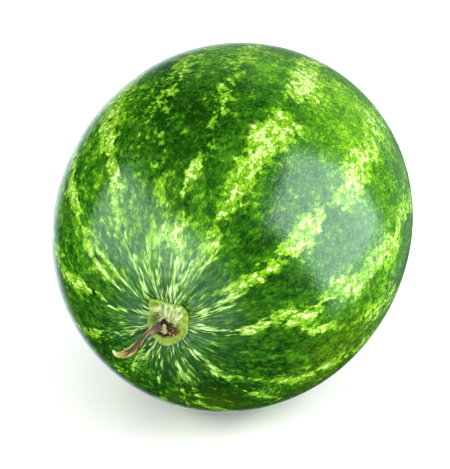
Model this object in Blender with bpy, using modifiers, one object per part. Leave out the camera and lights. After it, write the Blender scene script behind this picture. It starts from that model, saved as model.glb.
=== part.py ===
"""A whole striped watermelon, lying on its side with the dried end of its stalk still on.

Frame: +Z is up, the stalk end faces -Y and the blossom end +Y. The origin is the middle of
the small flat spot that the fruit lies on. All sizes are in metres.

Three bodies: the fruit, the pale pad where the stalk joined it, and the dried stalk itself.
"""
import math

import bmesh
import bpy
import numpy as np
from mathutils import Vector

# Fruit: a blunt-ended oval turned about the line from stalk to blossom.
FRUIT_LENGTH = 0.300
FRUIT_WIDTH = 0.250
BLUNTNESS = 0.03              # takes this off the exponent of the oval's sine, for fuller ends
STALK_END_FULLNESS = 0.011    # the stalk half is wider than the blossom half by this share
RESTING_SPOT_DEPTH = 0.0017   # how much of the round underside the flat spot takes away
FRUIT_RINGS = 42
FRUIT_MERIDIANS = 64
RING_CROWDING = 0.28          # draws the rings together towards the two ends

# Hollow at the stalk end: a flat seat for the pad, blended out into the oval.
SEAT_DEPTH = 0.0030
SEAT_RADIUS = 0.0190
HOLLOW_RADIUS = 0.0360

# Dimple at the blossom end.
BLOSSOM_DIMPLE_DEPTH = 0.0022
BLOSSOM_DIMPLE_RADIUS = 0.0110

# Pad: an irregular rounded disc. Each lobe is (waves round the edge, share of the radius,
# direction of one crest in degrees from +X towards +Z).
PAD_RADIUS = 0.0151
PAD_THICKNESS = 0.0024
PAD_LOBES = ((2, 0.073, 80), (3, 0.054, 16), (4, 0.036, 40), (5, 0.046, -23))
PAD_OFFSET = (0.0010, 0.0015)  # the pad grew a little off the fruit's axis, in X and Z
PAD_EDGE_ROUNDING = 0.0008
PAD_SIDES = 48

# Stalk: the middle of the dried stalk, as (right, out from the pad's face, up) from the
# middle of the pad's face, with the stalk's radius there.
STALK_ROUTE = (
    (-0.0027, 0.0003, -0.0043, 0.0029),
    (-0.0038, 0.0027, -0.0042, 0.0026),
    (-0.0066, 0.0046, -0.0039, 0.0023),
    (-0.0102, 0.0057, -0.0047, 0.0019),
    (-0.0139, 0.0064, -0.0071, 0.0016),
    (-0.0180, 0.0066, -0.0120, 0.0020),
    (-0.0225, 0.0060, -0.0173, 0.0027),
    (-0.0271, 0.0050, -0.0216, 0.0029),
    (-0.0318, 0.0040, -0.0252, 0.0023),
    (-0.0347, 0.0038, -0.0262, 0.0014),
    (-0.0367, 0.0050, -0.0224, 0.0006),
)
STALK_START = Vector((0.0, 0.0010, 0.0))   # the foot's back handle: it leaves the pad squarely
STALK_STEPS = 3               # tube rings between two points of the route

CLEARANCE = 0.0003            # gap between neighbours that touch

AXIS_HEIGHT = FRUIT_WIDTH / 2 - RESTING_SPOT_DEPTH
FACING_STALK_END = (math.radians(90), 0, 0)   # turns a piece's own +Z to face -Y

RIND_GREEN = (0.045, 0.200, 0.015)
PAD_GREEN = (0.420, 0.560, 0.180)
STALK_BROWN = (0.230, 0.120, 0.070)


def clear_scene():
    for old in list(bpy.data.objects):
        bpy.data.objects.remove(old, do_unlink=True)


def new_collection(name):
    collection = bpy.data.collections.new(name)
    bpy.context.scene.collection.children.link(collection)
    return collection


def new_material(name, colour, roughness):
    material = bpy.data.materials.new(name)
    material.use_nodes = True
    shader = material.node_tree.nodes["Principled BSDF"]
    shader.inputs["Base Color"].default_value = (*colour, 1.0)
    shader.inputs["Roughness"].default_value = roughness
    shader.inputs["Metallic"].default_value = 0.0
    return material


def new_object(name, data, collection, material=None):
    thing = bpy.data.objects.new(name, data)
    collection.objects.link(thing)
    if material:
        data.materials.append(material)
    return thing


def fade(distance, near, far):
    """1 up to near, falling smoothly to 0 at far."""
    share = np.clip((distance - near) / (far - near), 0.0, 1.0)
    return 1.0 - share * share * (3.0 - 2.0 * share)


def fruit_profile():
    """Half outline from the stalk end down to the blossom end, as rows of (x, y, z).

    With t running from 0 to pi, the radius is width/2 * sin(t)^(1 - bluntness), a little
    larger in the stalk half, and the height is length/2 * cos(t). Near the stalk end the
    height is drawn to the seat's level, and at the blossom end it is dimpled.
    """
    even = np.linspace(0.0, math.pi, FRUIT_RINGS + 1)
    t = even - RING_CROWDING * np.sin(2.0 * even)
    sine = np.clip(np.sin(t), 0.0, 1.0)
    sine[0] = 0.0
    sine[-1] = 0.0
    radius = FRUIT_WIDTH / 2 * sine ** (1.0 - BLUNTNESS) * (1.0 + STALK_END_FULLNESS * np.cos(t))
    height = FRUIT_LENGTH / 2 * np.cos(t)

    seat_level = FRUIT_LENGTH / 2 - SEAT_DEPTH
    seat = fade(radius, SEAT_RADIUS, HOLLOW_RADIUS) * (height > 0.0)
    height = height * (1.0 - seat) + seat_level * seat
    dimple = np.exp(-(radius / BLOSSOM_DIMPLE_RADIUS) ** 2) * (height < 0.0)
    height = height + BLOSSOM_DIMPLE_DEPTH * dimple
    return np.stack([radius, np.zeros_like(radius), height], axis=1)


def build_fruit(parts, cutters, material):
    """The turned oval, with the flat spot that it lies on cut from its underside."""
    outline = fruit_profile()
    edges = [(i, i + 1) for i in range(len(outline) - 1)]
    mesh = bpy.data.meshes.new("melon")
    mesh.from_pydata(outline.tolist(), edges, [])
    fruit = new_object("melon", mesh, parts, material)
    fruit.location = (0.0, 0.0, AXIS_HEIGHT)
    fruit.rotation_euler = FACING_STALK_END

    turn = fruit.modifiers.new("turn", "SCREW")
    turn.axis = "Z"
    turn.angle = math.tau
    turn.steps = FRUIT_MERIDIANS
    turn.render_steps = FRUIT_MERIDIANS
    turn.use_merge_vertices = True
    turn.merge_threshold = 0.00001
    turn.use_smooth_shade = True

    flatten = fruit.modifiers.new("resting spot", "BOOLEAN")
    flatten.operation = "DIFFERENCE"
    flatten.object = build_ground_cutter(cutters)
    return fruit


def build_ground_cutter(cutters):
    """A block whose top face is the plane that the fruit lies on."""
    block = (FRUIT_WIDTH / 2, FRUIT_WIDTH / 2, 0.020)
    shape = bmesh.new()
    bmesh.ops.create_cube(shape, size=1.0)
    bmesh.ops.scale(shape, vec=block, verts=shape.verts)
    bmesh.ops.translate(shape, vec=(0.0, 0.0, -block[2] / 2), verts=shape.verts)
    mesh = bpy.data.meshes.new("ground_cutter")
    shape.to_mesh(mesh)
    shape.free()
    cutter = new_object("ground_cutter", mesh, cutters)
    cutter.hide_render = True
    cutter.display_type = "WIRE"
    return cutter


def pad_face_y():
    """Where the pad's outer face lies along Y."""
    return -(FRUIT_LENGTH / 2 - SEAT_DEPTH + CLEARANCE + PAD_THICKNESS)


def build_stem_pad(parts, material):
    """A low disc whose edge swings in and out by the lobes, with a rounded rim."""
    shape = bmesh.new()
    bmesh.ops.create_cone(shape, cap_ends=True, segments=PAD_SIDES, radius1=PAD_RADIUS,
                          radius2=PAD_RADIUS, depth=PAD_THICKNESS)
    for corner in shape.verts:
        direction = math.atan2(corner.co.y, corner.co.x)
        stretch = 1.0
        for waves, share, crest in PAD_LOBES:
            stretch += share * math.cos(waves * (direction - math.radians(crest)))
        corner.co.x *= stretch
        corner.co.y *= stretch
    mesh = bpy.data.meshes.new("stem_pad")
    shape.to_mesh(mesh)
    shape.free()
    mesh.shade_smooth()
    mesh.set_sharp_from_angle(angle=math.radians(35))

    pad = new_object("stem_pad", mesh, parts, material)
    pad.location = (PAD_OFFSET[0], pad_face_y() + PAD_THICKNESS / 2, AXIS_HEIGHT + PAD_OFFSET[1])
    pad.rotation_euler = FACING_STALK_END
    rim = pad.modifiers.new("rounded rim", "BEVEL")
    rim.width = PAD_EDGE_ROUNDING
    rim.segments = 3
    rim.limit_method = "ANGLE"
    rim.angle_limit = math.radians(60)
    return pad


def build_stem(parts, material):
    """A bent tube of changing thickness, from the pad's face to the hooked tip."""
    curve = bpy.data.curves.new("stem", "CURVE")
    curve.dimensions = "3D"
    curve.bevel_depth = 1.0
    curve.bevel_resolution = 4
    curve.use_fill_caps = True
    curve.resolution_u = STALK_STEPS
    line = curve.splines.new("BEZIER")
    line.bezier_points.add(len(STALK_ROUTE) - 1)
    for point, (right, out, up, radius) in zip(line.bezier_points, STALK_ROUTE):
        point.co = (right, -out, up)
        point.radius = radius
        point.handle_left_type = "AUTO"
        point.handle_right_type = "AUTO"
    foot = line.bezier_points[0]
    foot.handle_left_type = "FREE"
    foot.handle_right_type = "FREE"
    foot.handle_left = foot.co + STALK_START
    foot.handle_right = foot.co - STALK_START
    stalk = new_object("stem", curve, parts, material)
    stalk.location = (PAD_OFFSET[0], pad_face_y(), AXIS_HEIGHT + PAD_OFFSET[1])
    return stalk


def main():
    clear_scene()
    parts = new_collection("watermelon")
    cutters = new_collection("cutters")
    build_fruit(parts, cutters, new_material("rind", RIND_GREEN, 0.35))
    build_stem_pad(parts, new_material("stem_pad", PAD_GREEN, 0.55))
    build_stem(parts, new_material("dried_stalk", STALK_BROWN, 0.75))


main()
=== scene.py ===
"""Looks of a whole striped watermelon that lies on its side.

Three pieces stand for the three solids of the frame: the striped rind, the pale pad where
the stalk joined the fruit, and the dried stalk with its hooked tip. Lengths are in metres.

Directions on the fruit: "from the stalk end" is the angle t that runs from 0 at the stalk
end to 180 degrees at the blossom end, and the "bearing" is the angle round the fruit's long
axis, seen from the stalk end, from +X towards +Z.
"""

import math

import bpy
import numpy as np
from bpy.props import FloatProperty, FloatVectorProperty, IntProperty, PointerProperty
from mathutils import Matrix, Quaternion, Vector


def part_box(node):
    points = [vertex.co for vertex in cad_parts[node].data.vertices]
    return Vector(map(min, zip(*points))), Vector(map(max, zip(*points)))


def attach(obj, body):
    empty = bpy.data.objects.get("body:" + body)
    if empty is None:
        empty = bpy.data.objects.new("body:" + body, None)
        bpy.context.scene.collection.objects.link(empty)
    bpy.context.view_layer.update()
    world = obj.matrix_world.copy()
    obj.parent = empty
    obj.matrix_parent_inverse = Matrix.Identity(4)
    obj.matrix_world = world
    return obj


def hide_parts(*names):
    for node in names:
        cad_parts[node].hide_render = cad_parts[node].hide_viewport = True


bl_info = {
    "name": "Striped Watermelon",
    "version": (1, 0, 0),
    "blender": (4, 5, 0),
    "location": "3D View > Sidebar > Watermelon",
    "description": "Builds a striped watermelon with its pad and dried stalk, and a studio",
    "category": "Add Mesh",
}

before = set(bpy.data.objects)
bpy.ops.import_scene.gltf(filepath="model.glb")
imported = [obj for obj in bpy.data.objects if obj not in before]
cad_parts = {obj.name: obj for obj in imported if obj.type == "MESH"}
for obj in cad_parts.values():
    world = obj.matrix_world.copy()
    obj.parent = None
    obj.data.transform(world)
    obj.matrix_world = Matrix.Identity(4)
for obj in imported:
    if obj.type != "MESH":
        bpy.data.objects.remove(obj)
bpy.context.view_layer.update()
FRUIT_LOW, FRUIT_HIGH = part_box("melon")
PAD_LOW, PAD_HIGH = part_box("stem_pad")
BODY = "root"

FRUIT_WIDTH = FRUIT_HIGH.x - FRUIT_LOW.x
AXIS_HEIGHT = FRUIT_HIGH.z - FRUIT_WIDTH / 2
SEAT_Y = PAD_HIGH.y + 0.0003
PAD_FACE_Y = PAD_LOW.y
PAD_THICKNESS = PAD_HIGH.y - PAD_LOW.y
PAD_MIDDLE = (0.0003, AXIS_HEIGHT + 0.0006)


# ---------------------------------------------------------------- sizes and colours


def length(name, description, default):
    return FloatProperty(name=name, description=description, default=default, unit="LENGTH",
                         precision=4)


def share(name, description, default):
    return FloatProperty(name=name, description=description, default=default, min=0.0,
                         soft_max=1.0, subtype="FACTOR")


def colour(name, description, default):
    return FloatVectorProperty(name=name, description=description, default=default, size=3,
                               min=0.0, max=1.0, subtype="COLOR")


class RindSettings(bpy.types.PropertyGroup):
    long_axis: length("Length", "Fruit length from stalk end to blossom end", 0.300)
    width: length("Width", "Fruit width across the long axis", FRUIT_WIDTH)
    bluntness: share("Bluntness", "Makes the two ends fuller than an oval's", 0.03)
    stalk_fullness: share("Stalk-end fullness", "How much wider the stalk half is", 0.011)
    cell: length("Cell size", "Width of one cell of the rind's net of veins", 0.0034)
    bump: length("Skin relief", "Height of the skin's finest unevenness", 0.00007)
    roughness: share("Roughness", "Roughness of the waxy skin", 0.15)
    columns: IntProperty(name="Columns", description="Faces round the fruit", default=448)
    rows: IntProperty(name="Rows", description="Faces from end to end", default=216)
    shadow_green: colour("Shadow green", "Veins between dark cells", (0.004, 0.028, 0.0008))
    dark_green: colour("Dark green", "The darkest ground", (0.010, 0.064, 0.0014))
    leaf_green: colour("Leaf green", "The lighter ground", (0.034, 0.145, 0.0030))
    bright_green: colour("Bright green", "Fringe of the stripes", (0.100, 0.280, 0.0060))
    lime: colour("Lime", "Outer flecks of the stripes", (0.215, 0.425, 0.0140))
    pale_lime: colour("Pale lime", "Inner flecks of the stripes", (0.370, 0.560, 0.1100))
    cream: colour("Cream", "Palest hearts of the flecks", (0.540, 0.680, 0.350))
    # Beside the pad these two colours are bluish: a painted sheen laid over the real pale streaks
    # and green ground there.
    stalk_pale: colour("Stalk pale", "Pale streaks beside the pad", (0.380, 0.520, 0.250))
    stalk_green: colour("Stalk green", "Ground close to the pad", (0.026, 0.105, 0.0260))
    straw: colour("Straw", "Spot that the fruit lay on while it grew", (0.620, 0.560, 0.250))
    bronze: colour("Bronze", "Sun-touched patches low on the fruit", (0.085, 0.125, 0.0030))


class PadSettings(bpy.types.PropertyGroup):
    radius: length("Radius", "Mean radius of the pad", 0.0151)
    rim: length("Rim height", "How far the rim stands above the pad's face", 0.0003)
    dish: length("Dish depth", "How far the middle of the face sinks", 0.0004)
    pale: colour("Pale green", "Light fibres of the pad", (0.440, 0.550, 0.240))
    grey_green: colour("Grey green", "Tissue between the fibres", (0.200, 0.235, 0.090))
    fresh: colour("Fresh green", "Tissue round the fibres", (0.235, 0.365, 0.050))
    deep: colour("Deep green", "Darker parts of that tissue", (0.110, 0.200, 0.024))
    rim_green: colour("Rim green", "Edge of the pad", (0.240, 0.450, 0.034))
    # Olive colours the darker patches of the pad; its largest patch is painted shade of a dent.
    olive: colour("Olive", "Stained tissue", (0.055, 0.058, 0.006))
    bark: colour("Bark", "Dark corky scar", (0.030, 0.016, 0.014))
    umber: colour("Umber", "Brown crust of the scar", (0.062, 0.038, 0.011))
    tan: colour("Tan", "Crumbs on the scar", (0.420, 0.270, 0.060))
    core: colour("Core", "Pale core of the scar", (0.380, 0.430, 0.200))


class StalkSettings(bpy.types.PropertyGroup):
    plum: colour("Plum", "Foot of the stalk", (0.085, 0.052, 0.045))
    brick: colour("Brick", "Ridges of the stalk", (0.270, 0.130, 0.075))
    # Umber darkens the hollows between the ridges, partly as painted shade in the recesses.
    umber: colour("Umber", "Hollows between the ridges", (0.050, 0.034, 0.012))
    ochre: colour("Ochre", "Outer part of the stalk", (0.360, 0.300, 0.050))
    straw: colour("Straw", "Bleached fibres", (0.540, 0.440, 0.230))
    moss: colour("Moss", "Greenish tissue left in the hollows", (0.170, 0.175, 0.035))
    cream: colour("Cream", "Torn tip", (0.760, 0.740, 0.420))


class StudioSettings(bpy.types.PropertyGroup):
    azimuth: FloatProperty(name="Azimuth", description="Camera's bearing, 0 faces the stalk end",
                           default=math.radians(16.85), subtype="ANGLE")
    elevation: FloatProperty(name="Elevation", description="Camera's height above the horizon",
                             default=math.radians(26.78), subtype="ANGLE")
    distance: length("Distance", "From the fruit's middle to the camera", 1.25)
    lens: FloatProperty(name="Lens", description="Focal length in millimetres", default=134.8)
    aim_right: length("Aim right", "How far the camera looks to the fruit's right", -0.0070)
    aim_up: length("Aim up", "How far the camera looks above the fruit's middle", -0.0077)
    floor_radius: length("Floor radius", "Radius of the round floor", 7.0)


SETTINGS = {
    "melon_rind": RindSettings,
    "melon_pad": PadSettings,
    "melon_stalk": StalkSettings,
    "melon_studio": StudioSettings,
}


# ---------------------------------------------------------------- shader expressions


class Value:
    """A shader socket that Python arithmetic works on. Each operator adds one Math node."""

    def __init__(self, paint, socket):
        self.paint = paint
        self.socket = socket

    def maths(self, operation, *values):
        return self.paint.node("Math", {"operation": operation}, values)

    def __add__(self, other):
        return self.maths("ADD", self, other)

    __radd__ = __add__

    def __sub__(self, other):
        return self.maths("SUBTRACT", self, other)

    def __rsub__(self, other):
        return self.maths("SUBTRACT", other, self)

    def __mul__(self, other):
        return self.maths("MULTIPLY", self, other)

    __rmul__ = __mul__

    def step(self, low, high):
        """0 below low, 1 above high, smooth between."""
        return self.paint.node("MapRange", {"interpolation_type": "SMOOTHSTEP"},
                               {"Value": self, "From Min": low, "From Max": high})


class Paint:
    """A material's node tree round its Principled shader."""

    def __init__(self, name, roughness, specular=0.5):
        self.material = bpy.data.materials.new(name)
        self.material.use_nodes = True
        self.tree = self.material.node_tree
        self.shader = self.tree.nodes["Principled BSDF"]
        self.set(roughness=roughness, specular_ior_level=specular)

    @classmethod
    def over(cls, tree):
        """The same helpers for a tree without a Principled shader, such as the world's."""
        paint = cls.__new__(cls)
        paint.tree = tree
        return paint

    def set(self, **values):
        """Puts values or links on the Principled shader's sockets, named as they read."""
        titles = {socket.name.lower().replace(" ", "_"): socket for socket in self.shader.inputs}
        for title, value in values.items():
            self.put(titles[title], value)

    def put(self, socket, value):
        if isinstance(value, Value):
            self.tree.links.new(value.socket, socket)
        elif hasattr(value, "__len__") and socket.type == "RGBA":
            socket.default_value = (*tuple(value)[:3], 1.0)
        else:
            socket.default_value = value

    def node(self, kind, settings=None, inputs=(), output=0):
        """Adds one node. Its settings come first, then its sockets by order or by name."""
        node = self.tree.nodes.new("ShaderNode" + kind)
        for title, value in (settings or {}).items():
            if title == "stops":
                self.set_stops(node.color_ramp, value)
            else:
                setattr(node, title, value)
        pairs = inputs.items() if isinstance(inputs, dict) else enumerate(inputs)
        for key, value in pairs:
            self.put(node.inputs[key], value)
        return Value(self, node.outputs[output])

    def set_stops(self, ramp, stops):
        while len(ramp.elements) < len(stops):
            ramp.elements.new(0.5)
        for element, (place, tint) in zip(ramp.elements, stops):
            element.position = place
            element.color = (*tuple(tint)[:3], 1.0)

    def attribute(self, name, output="Fac"):
        return self.node("Attribute", {"attribute_name": name}, output=output)

    def attributes(self, *names):
        """Several one-number attributes at once."""
        return [self.attribute(name) for name in names]

    def noise(self, vector, size, detail=2.0, output=0):
        """Cloudy noise whose blobs are about size across."""
        return self.node("TexNoise", {}, {"Vector": vector, "Scale": 1.0 / size,
                                          "Detail": detail}, output)

    def cell_edge(self, vector, size):
        """Distance to the nearest edge of a pattern whose cells are about size across."""
        return self.node("TexVoronoi", {"feature": "DISTANCE_TO_EDGE"},
                         {"Vector": vector, "Scale": 1.0 / size}, "Distance")

    def cell_shade(self, vector, size):
        """One random number for each cell of the same pattern."""
        tint = self.node("TexVoronoi", {}, {"Vector": vector, "Scale": 1.0 / size}, "Color")
        return self.node("SeparateColor", {}, (tint,))

    def mix(self, factor, first, second):
        """Blends two colours. The node's colour sockets are its inputs 6 and 7 and output 2."""
        return self.node("Mix", {"data_type": "RGBA"}, {0: factor, 6: first, 7: second}, 2)

    def vector(self, operation, first, second):
        """Works on two vectors."""
        return self.node("VectorMath", {"operation": operation}, (first, second))

    def relief(self, height, distance):
        """A bump that stands distance metres high for each 1 of the height value."""
        bump = self.node("Bump", {}, {"Height": height, "Distance": distance}, "Normal")
        self.put(self.shader.inputs["Normal"], bump)


# ---------------------------------------------------------------- meshes and fields


def tapered_tube(name, rings):
    """Closed mesh from rings of points, with shape (rows, columns, 3).

    The first and last ring are drawn to a point, at the mean of their points. The map
    OFBake lays the columns along u and the rows along v.
    """
    rows, columns = rings.shape[:2]
    points = rings.reshape(-1, 3)
    tips = np.stack([rings[0].mean(axis=0), rings[-1].mean(axis=0)])
    points = np.concatenate([points, tips])
    first_tip = rows * columns
    row, column = np.meshgrid(np.arange(rows - 1), np.arange(columns), indexing="ij")
    following = (column + 1) % columns
    quads = np.stack([row * columns + column, row * columns + following,
                      (row + 1) * columns + following, (row + 1) * columns + column], axis=-1)
    quads = quads.reshape(-1, 4)
    index = np.arange(columns)
    beside = (index + 1) % columns
    last = (rows - 1) * columns
    start_fan = np.stack([np.full(columns, first_tip), beside, index], axis=-1)
    end_fan = np.stack([np.full(columns, first_tip + 1), last + index, last + beside], axis=-1)

    v = np.linspace(0.0, 1.0, rows + 2)
    left, right = column / columns, (column + 1) / columns
    low, high = v[row + 1], v[row + 2]
    u0, u1, middle = index / columns, (index + 1) / columns, (index + 0.5) / columns
    maps = np.concatenate([
        map_corners((left, low), (right, low), (right, high), (left, high)),
        map_corners((middle, v[0]), (u1, v[1]), (u0, v[1])),
        map_corners((middle, v[-1]), (u0, v[-2]), (u1, v[-2])),
    ])

    mesh = bpy.data.meshes.new(name)
    mesh.from_pydata(points.tolist(), [], quads.tolist() + start_fan.tolist() + end_fan.tolist())
    layer = mesh.uv_layers.new(name="OFBake")
    layer.uv.foreach_set("vector", maps.astype(np.float32).ravel())
    mesh.shade_smooth()
    if signed_volume(points, quads) < 0.0:
        mesh.flip_normals()
    return mesh


def map_corners(*corners):
    """The corners' u and v as one list of pairs, face by face."""
    pairs = [np.stack(np.broadcast_arrays(u, v), axis=-1) for u, v in corners]
    return np.stack(pairs, axis=-2).reshape(-1, 2)


def signed_volume(points, quads):
    """Sum over the faces of corner . (next corner x opposite corner): above 0 if they face out."""
    first, second, third, fourth = (points[quads[:, i]] for i in range(4))
    return float((first * np.cross(second, third)).sum() + (first * np.cross(third, fourth)).sum())


def add_fields(mesh, **fields):
    """Stores fields of one number, or one vector, for each point.

    The two tips take the mean of the ring beside them.
    """
    for name, values in fields.items():
        kind, key = ("FLOAT_VECTOR", "vector") if values.ndim == 3 else ("FLOAT", "value")
        tips = np.stack([values[0].mean(axis=0), values[-1].mean(axis=0)])
        data = np.concatenate([values.reshape(-1, *values.shape[2:]), tips])
        attribute = mesh.attributes.new(name, kind, "POINT")
        attribute.data.foreach_set(key, data.astype(np.float32).ravel())


def add_piece(name, mesh, material, node):
    """Puts the mesh in the scene, riding on the fruit's body in place of a CAD node."""
    piece = bpy.data.objects.new(name, mesh)
    bpy.context.scene.collection.objects.link(piece)
    mesh.materials.append(material)
    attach(piece, BODY)
    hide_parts(node)


def fade(value, near, far):
    """1 at near, falling smoothly to 0 at far."""
    part = np.clip((value - near) / (far - near), 0.0, 1.0)
    return 1.0 - part * part * (3.0 - 2.0 * part)


def turn(angle):
    """An angle in radians, brought to -pi to pi."""
    return (angle + math.pi) % math.tau - math.pi


def turn_between(first, second):
    """Signed angle in degrees from second to first, from -180 to 180."""
    return (first - second + 180.0) % 360.0 - 180.0


def waves(seed, count, *angles):
    """Smooth pseudo-random field: a sum of count cosines of the angles, mostly within 1."""
    random = np.random.default_rng(seed)
    total = 0.0
    for _ in range(count):
        turns = random.integers(1, 5, size=len(angles))
        phase = random.uniform(0.0, math.tau)
        total = total + np.cos(sum(n * a for n, a in zip(turns, angles)) + phase)
    return total / math.sqrt(count)


# ---------------------------------------------------------------- the fruit

# Each stripe runs from the stalk end to the blossom end through rows of
# (degrees from the stalk end, bearing, half width in degrees, strength).
STRIPES = (
    ((7, 0, 10, 1.0), (12, -2, 8, 0.85), (18, -4, 7, 0.8), (25, -1, 4.5, 0.8), (30, 4, 5, 0.7),
     (36, 2, 7, 0.9), (42, 1, 4, 0.9), (50, 8, 6, 0.8), (59, 4, 6, 0.85), (66, 8, 5, 0.8),
     (74, 9, 5.5, 0.95), (81, 7, 5, 0.9), (86, 14, 4, 0.75), (96, 12, 5, 0.65)),
    ((36, -6, 2, 0.2), (44, -8, 3.5, 0.9), (50, -8, 3, 0.5), (57, -11, 2.5, 0.35),
     (64, -10, 5, 0.7), (74, -12, 5, 0.6), (90, -13, 5, 0.6)),
    ((7, -48, 6, 0.8), (13, -48, 6, 0.85), (18, -49, 6, 0.8), (23, -52, 3, 0.7),
     (28, -44, 4, 0.4), (33, -40, 3, 0.6), (40, -38, 3, 0.5), (46, -37, 4, 0.7),
     (51, -33, 4, 0.8), (56, -29, 3, 0.8), (64, -27, 4, 0.6), (80, -27, 6, 0.7)),
    ((24, -51, 2, 0.2), (37, -51, 2.5, 0.65), (44, -52, 2.5, 0.55), (60, -52, 3, 0.3)),
    ((7, -84, 6, 0.6), (13, -80, 3, 0.5), (17, -78, 3.5, 0.85), (24, -77, 3, 0.5),
     (29, -77, 3.5, 0.7), (35, -80, 5, 0.45), (44, -76, 5, 0.7), (60, -72, 6, 0.8)),
    ((15, -86, 2, 0.2), (24, -84, 3, 0.5), (30, -87, 3, 0.4), (37, -88, 4.5, 0.6),
     (50, -94, 5, 0.6)),
    ((7, -67, 3, 0.5), (13, -68, 3, 0.55), (20, -69, 2, 0.25), (32, -66, 2, 0.1)),
    ((7, 20, 9, 1.0), (12, 24, 8, 0.9), (18, 25, 7, 0.9), (24, 30, 6, 0.75), (28, 32, 5, 0.8),
     (33, 31, 4.5, 0.8), (38, 34, 3.5, 0.7), (43, 33, 7, 0.95), (48, 34, 7, 1.0),
     (54, 36, 4.5, 0.95), (58, 38, 2, 0.4), (60, 36, 2, 0.2), (62, 33, 3, 0.7),
     (67, 35, 5.5, 1.0), (72, 37, 6.5, 1.0), (77, 39, 6, 1.0), (82, 39, 6, 0.9),
     (87, 37, 5.5, 0.9), (91, 41, 5, 0.6), (96, 41, 7, 0.85)),
    ((11, 36, 2, 0.3), (17, 34, 3, 0.6), (22, 35, 3, 0.5), (27, 37, 2, 0.2)),
    ((7, 82, 12, 1.0), (10, 79, 9, 0.9), (14, 75, 6, 0.85), (19, 73, 6, 0.9),
     (24, 66, 6, 0.75), (29, 66, 5.5, 0.75), (36, 68, 5, 0.65), (41, 66, 6, 0.9),
     (46, 68, 6, 1.0), (51, 67, 5.5, 0.9), (56, 67, 5.5, 1.0), (61, 67, 6.5, 1.0),
     (66, 66, 7, 1.0), (70, 64, 5.5, 0.9), (74, 67, 4, 0.45), (78, 67, 4, 0.4), (82, 66, 5, 0.75),
     (85, 66, 6, 1.0), (90, 67, 7.5, 1.0), (95, 67, 6.5, 0.95), (103, 69, 5, 0.75)),
    ((10, 90, 4, 0.5), (14, 87, 4, 0.25), (19, 86, 6, 0.75), (25, 86, 7, 0.9), (30, 86, 6, 0.8),
     (35, 89, 5, 0.5), (41, 88, 3, 0.5), (46, 87, 3, 0.85), (51, 84, 3, 0.45), (58, 85, 4, 0.32),
     (64, 85, 4, 0.48), (73, 87, 5, 0.45), (85, 87, 4.5, 0.42), (98, 89, 4, 0.55)),
    ((10, 100, 4, 0.6), (15, 101, 5, 0.75), (21, 98, 5, 0.5), (28, 95, 5, 0.8),
     (34, 98, 4, 0.4), (46, 103, 5, 0.42), (53, 104, 4, 0.45), (60, 106, 5, 0.38),
     (69, 106, 6, 0.42), (79, 106, 6, 0.48), (95, 104, 5, 0.5)),
    ((17, 60, 3, 0.3), (22, 61, 5, 0.6), (27, 60, 5, 0.55), (32, 59, 3, 0.2)),
    ((8, 109, 4, 0.6), (14, 110, 3.5, 0.85), (18, 112, 3.5, 0.8), (23, 110, 4, 0.35),
     (32, 112, 3, 0.25)),
    ((10, 123, 4, 0.45), (17, 123, 5, 0.65), (24, 123, 5, 0.6), (33, 125, 6, 0.65),
     (39, 124, 5, 0.65), (44, 123, 4, 0.8), (48, 123, 3.5, 0.95), (53, 124, 3.5, 0.5),
     (60, 125, 5.5, 0.8), (67, 128, 7, 0.75), (74, 128, 8, 0.75), (84, 127, 8, 0.7)),
    ((9, 150, 4, 0.4), (14, 151, 2, 0.6), (18, 152.5, 1.8, 0.95), (24, 153, 3, 1.0),
     (30, 152.5, 3.5, 0.9), (36, 149, 2.5, 0.45), (41, 148, 1.8, 0.3), (46, 147, 4, 0.7),
     (51, 147.5, 4.5, 0.8), (57, 149, 4.5, 0.7), (64, 147, 4, 0.6), (76, 148, 5, 0.7)),
    ((9, 141, 3, 0.4), (16, 143, 2, 0.75), (24, 144.5, 2, 0.65), (31, 146, 3, 0.6),
     (37, 147, 2, 0.2)),
    ((7, 160, 9, 0.85), (12, 172, 4, 0.35), (17, 177, 2.5, 0.55), (22, 172, 3, 0.65),
     (28, 174, 4, 0.8), (33, 173, 4.5, 0.85), (37, 177, 4, 0.7), (44, 178, 4, 0.5),
     (56, 172, 5, 0.7)),
    ((7, 197, 6, 0.75), (12, 205, 6, 0.8), (18, 204, 5, 0.55), (25, 205, 5, 0.65),
     (34, 205, 4, 0.45), (48, 204, 5, 0.7)),
    ((7, 238, 8, 0.85), (14, 237, 6, 0.8), (20, 237, 4.5, 0.75), (26, 239, 3.5, 0.4),
     (31, 233, 3, 0.55), (38, 235, 3, 0.4), (52, 234, 5, 0.7)),
    ((8, 253, 4, 0.5), (16, 259, 3.5, 0.4), (26, 260, 4, 0.35), (40, 258, 4, 0.4)),
)
STRIPE_SEED = 11
BLOSSOM_ROWS = (105, 120, 135, 150, 163, 174)

STALK_STRETCH = 3.0           # beside the pad the flecks are 1 + this times as long as wide
BLOSSOM_STRETCH = 1.2         # the same at the blossom end
STRETCH_REACH = 0.062         # distance from the long axis over which that fades
STALK_SIDE = (0.012, 0.065)   # distances between which the streaks beside the pad fade
FRINGE_SPREAD = 2.2           # how many times as wide as a stripe its fringe is
WAIST_RADIUS = 0.052          # inside this radius the flecks narrow towards the long axis
LEAST_GROWTH = 0.08           # least advance of the flecks' third coordinate along the rind

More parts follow.
